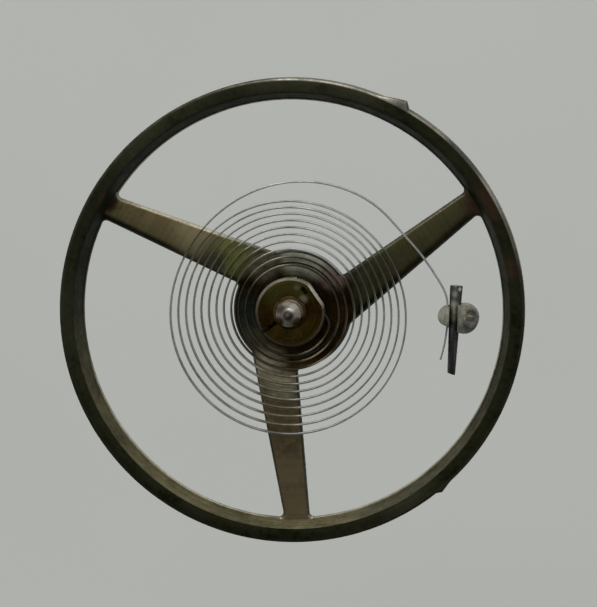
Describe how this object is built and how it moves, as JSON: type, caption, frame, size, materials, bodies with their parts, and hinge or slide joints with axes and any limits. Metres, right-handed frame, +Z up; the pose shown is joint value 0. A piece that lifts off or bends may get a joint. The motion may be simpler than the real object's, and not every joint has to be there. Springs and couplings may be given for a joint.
{
  "type": "watch balance wheel",
  "caption": "Plain three-armed pinwheel balance wheel on a double-roller staff, with a flat hairspring pinned at its collet and stud, swinging about the staff.",
  "frame": {"origin": "on the staff's axis, at the tip of the lower pivot", "axes": "+Z up the staff from the rollers to the hairspring, +X towards the stud"},
  "size_m": [0.01, 0.01, 0.0029],
  "materials": {
    "wheel_bronze": "aged, dark olive brown, lightly grained",
    "staff_steel": "turned and polished, tempered steel",
    "roller_steel": "flat polished steel",
    "ruby": "polished synthetic ruby",
    "shellac": "set shellac, glossy brown",
    "collet_brass": "tarnished brass, bright on its edges",
    "pin_brass": "drawn brass",
    "spring_alloy": "rolled grey spring ribbon",
    "stud_brass": "worn grey brass",
    "pin_steel": "dark steel, drawn along its length"
  },
  "bodies": {
    "stud_side": {"stud": "stud_brass", "stud_pin": "pin_steel", "hairspring": "spring_alloy"},
    "balance": {"balance_wheel": "wheel_bronze", "balance_staff": "staff_steel", "impulse_roller": "roller_steel", "safety_roller": "roller_steel", "impulse_jewel": "ruby", "jewel_shellac": "shellac", "collet": "collet_brass", "collet_pin": "pin_brass"}
  },
  "joints": [
    {"name": "balance_swing", "type": "hinge", "parent": "stud_side", "child": "balance", "pos_m": [0, 0, 0.00142], "axis": [0, 0, 1], "range_deg": [-300, 300], "stiffness_Nm_per_rad": 0.0000005, "deforming": ["hairspring"]}
  ]
}
